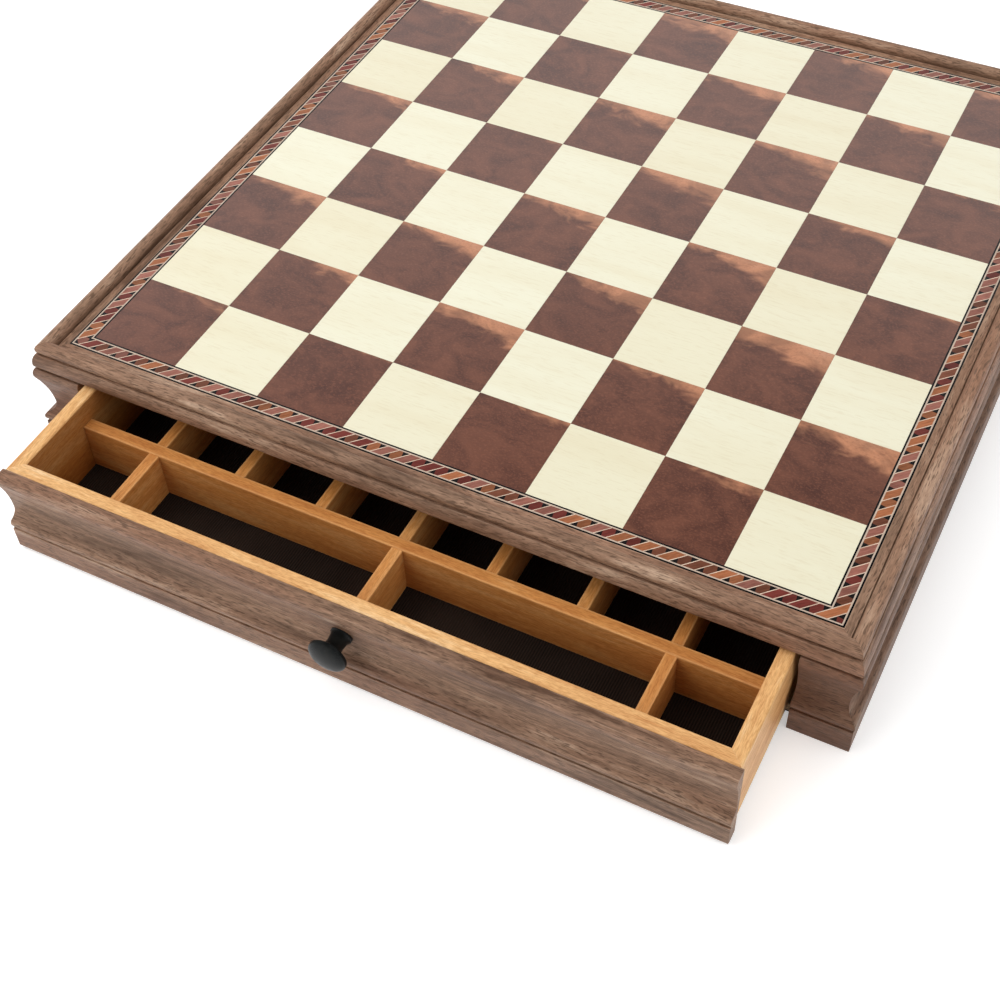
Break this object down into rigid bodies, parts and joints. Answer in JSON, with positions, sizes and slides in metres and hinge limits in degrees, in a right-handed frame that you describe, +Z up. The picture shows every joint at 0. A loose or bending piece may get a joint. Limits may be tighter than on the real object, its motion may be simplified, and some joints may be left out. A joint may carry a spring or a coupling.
{
  "type": "chess box with drawers",
  "caption": "Square wooden games box with an inlaid chequered playing top, moulded sides, and divided drawers that slide out of the front and the back.",
  "frame": {"origin": "centre of the case's footprint, on the surface that it stands on", "axes": "+Z up out of the playing surface; -Y out of the front, where the drawer that stands open slides; +X to the right seen from the front"},
  "size_m": [0.363, 0.437, 0.0558],
  "materials": {
    "walnut": "satin-lacquered walnut, grey-brown with darker streaks along the grain",
    "boxwood": "oiled honey-coloured hardwood, fine straight grain",
    "plywood": "bare plywood",
    "maple_veneer": "lacquered pale maple veneer",
    "burl_veneer": "lacquered dark burl veneer with orange-brown clouds",
    "black_line": "dyed black stringing",
    "pale_line": "pale boxwood stringing",
    "rope_marquetry": "red, brown and black rope marquetry under lacquer",
    "black_baize": "napped baize",
    "lining_cloth": "ribbed near-black cloth",
    "black_knob": "turned wood, dyed black and polished",
    "screw_steel": "plated steel"
  },
  "bodies": {
    "case": {"baize_underlay": "black_baize", "bottom_panel": "plywood", "left_wall": "walnut", "right_wall": "walnut", "front_left_post": "walnut", "front_right_post": "walnut", "back_left_post": "walnut", "back_right_post": "walnut", "centre_partition": "plywood", "left_guide_strip": "boxwood", "right_guide_strip": "boxwood", "glue_blocks": "plywood", "bottom_screws": "screw_steel", "guide_screws": "screw_steel", "board_core": "plywood", "light_squares": "maple_veneer", "dark_squares": "burl_veneer", "black_stringing": "black_line", "pale_stringing": "pale_line", "rope_banding": "rope_marquetry", "front_rail": "walnut", "back_rail": "walnut", "left_rail": "walnut", "right_rail": "walnut"},
    "front_drawer": {"front_drawer_facing": "walnut", "front_drawer_inner_front": "boxwood", "front_drawer_left_side": "boxwood", "front_drawer_right_side": "boxwood", "front_drawer_back": "boxwood", "front_drawer_bottom": "plywood", "front_drawer_lining": "lining_cloth", "front_drawer_long_divider": "boxwood", "front_drawer_divider_1": "boxwood", "front_drawer_divider_2": "boxwood", "front_drawer_divider_3": "boxwood", "front_drawer_divider_4": "boxwood", "front_drawer_divider_5": "boxwood", "front_drawer_divider_6": "boxwood", "front_drawer_divider_7": "boxwood", "front_drawer_knob": "black_knob", "front_drawer_knob_screw": "screw_steel"},
    "back_drawer": {"back_drawer_facing": "walnut", "back_drawer_inner_front": "boxwood", "back_drawer_left_side": "boxwood", "back_drawer_right_side": "boxwood", "back_drawer_back": "boxwood", "back_drawer_bottom": "plywood", "back_drawer_lining": "lining_cloth", "back_drawer_long_divider": "boxwood", "back_drawer_divider_1": "boxwood", "back_drawer_divider_2": "boxwood", "back_drawer_divider_3": "boxwood", "back_drawer_divider_4": "boxwood", "back_drawer_divider_5": "boxwood", "back_drawer_divider_6": "boxwood", "back_drawer_divider_7": "boxwood", "back_drawer_knob": "black_knob", "back_drawer_knob_screw": "screw_steel"}
  },
  "joints": [
    {"name": "front_drawer_slide", "type": "slide", "parent": "case", "child": "front_drawer", "axis": [0, -1, 0], "range_m": [-0.055, 0.06]},
    {"name": "back_drawer_slide", "type": "slide", "parent": "case", "child": "back_drawer", "axis": [0, 1, 0], "range_m": [0, 0.115]}
  ]
}
